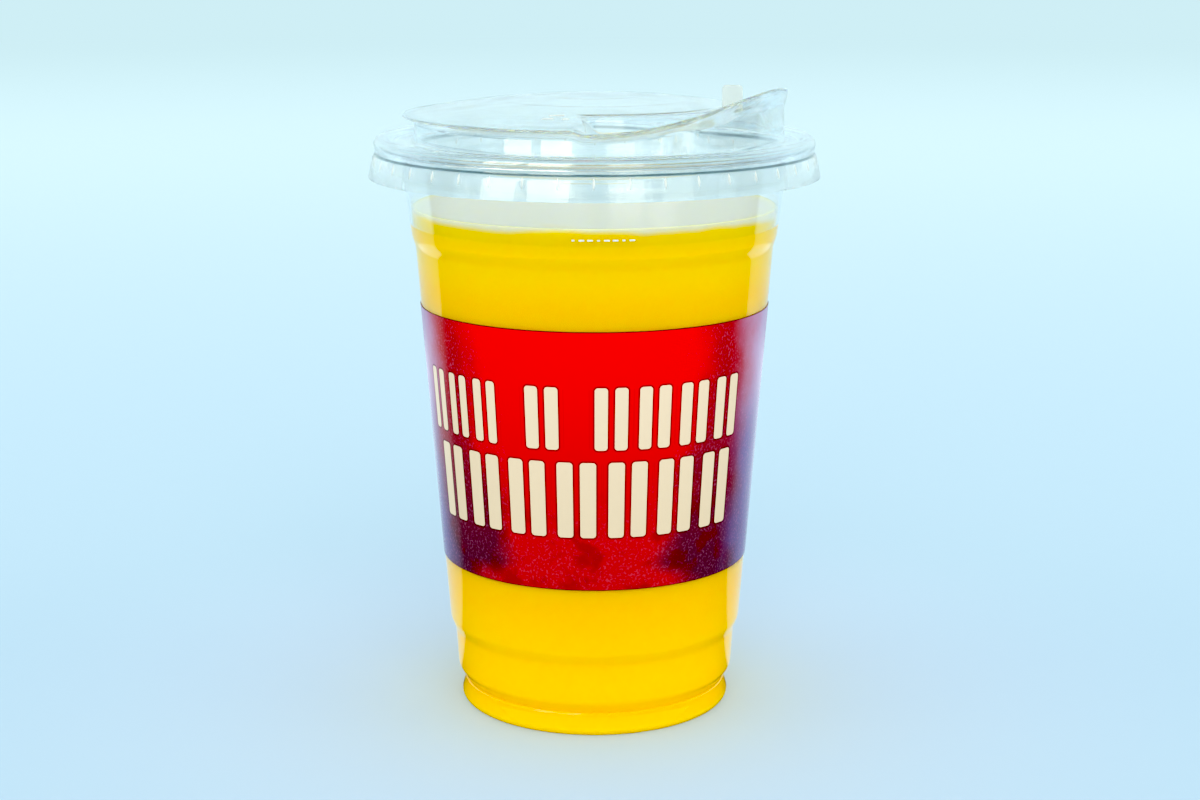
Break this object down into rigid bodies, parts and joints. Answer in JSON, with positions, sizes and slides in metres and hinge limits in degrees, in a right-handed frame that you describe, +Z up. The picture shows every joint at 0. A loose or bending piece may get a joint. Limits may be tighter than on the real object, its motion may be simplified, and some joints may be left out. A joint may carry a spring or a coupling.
{
  "type": "glass of orange juice",
  "caption": "Clear tapered takeaway cup of orange juice with a press-on domed sip lid, a raised spout and a plain printed wrap label.",
  "frame": {"origin": "middle of the foot ring, on the surface the cup stands on", "axes": "+Z up along the cup's axis, the label's front faces -Y, and the spout faces between +X and -Y"},
  "size_m": [0.096, 0.096, 0.1357],
  "materials": {
    "cup_clear": "clear thermoformed sheet, smooth and glossy",
    "juice": "opaque yellow orange drink, wet surface with fine froth at the wall",
    "label_print": "glossy printed film, red that runs to dark violet at its sides and lower corners",
    "lid_clear": "clear thermoformed sheet, smooth and glossy, faint blue green at its folds"
  },
  "bodies": {
    "root": {"cup": "cup_clear", "juice": "juice", "label": "label_print", "lid": "lid_clear"}
  },
  "joints": []
}
